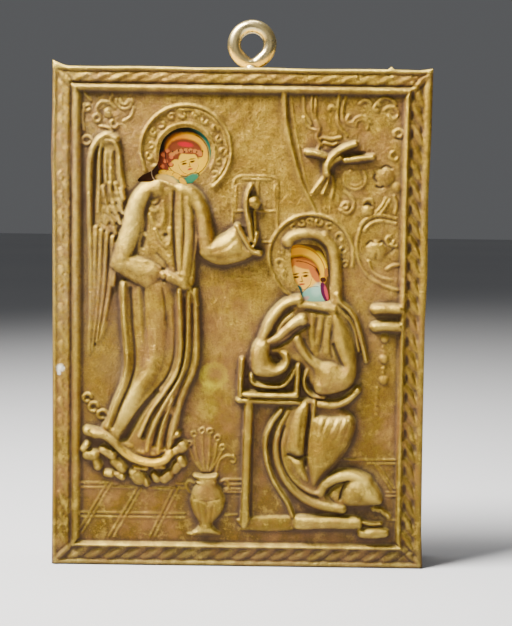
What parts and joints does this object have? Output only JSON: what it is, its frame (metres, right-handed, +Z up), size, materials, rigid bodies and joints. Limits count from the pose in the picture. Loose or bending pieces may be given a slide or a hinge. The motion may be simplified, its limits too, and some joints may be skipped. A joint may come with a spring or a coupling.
{
  "type": "brass relief icon",
  "caption": "Small stamped brass icon with raised figures and cut-out windows over a printed picture, folded round a wooden board, with a hanging eye on top.",
  "frame": {"origin": "middle of the underside, on the surface that the icon stands on", "axes": "+Z up the plaque, +X to the right as seen from the front, +Y towards the back, so the relief faces -Y"},
  "size_m": [0.06, 0.011, 0.0881],
  "materials": {
    "stamped_brass": "satin, patinated, raised parts rubbed bright",
    "printed_card": "semi-gloss colour print",
    "board_wood": "raw, aged",
    "eye_brass": "polished"
  },
  "bodies": {
    "root": {"brass_cover": "stamped_brass", "printed_picture": "printed_card", "wooden_board": "board_wood", "hanging_eye": "eye_brass"}
  },
  "joints": []
}
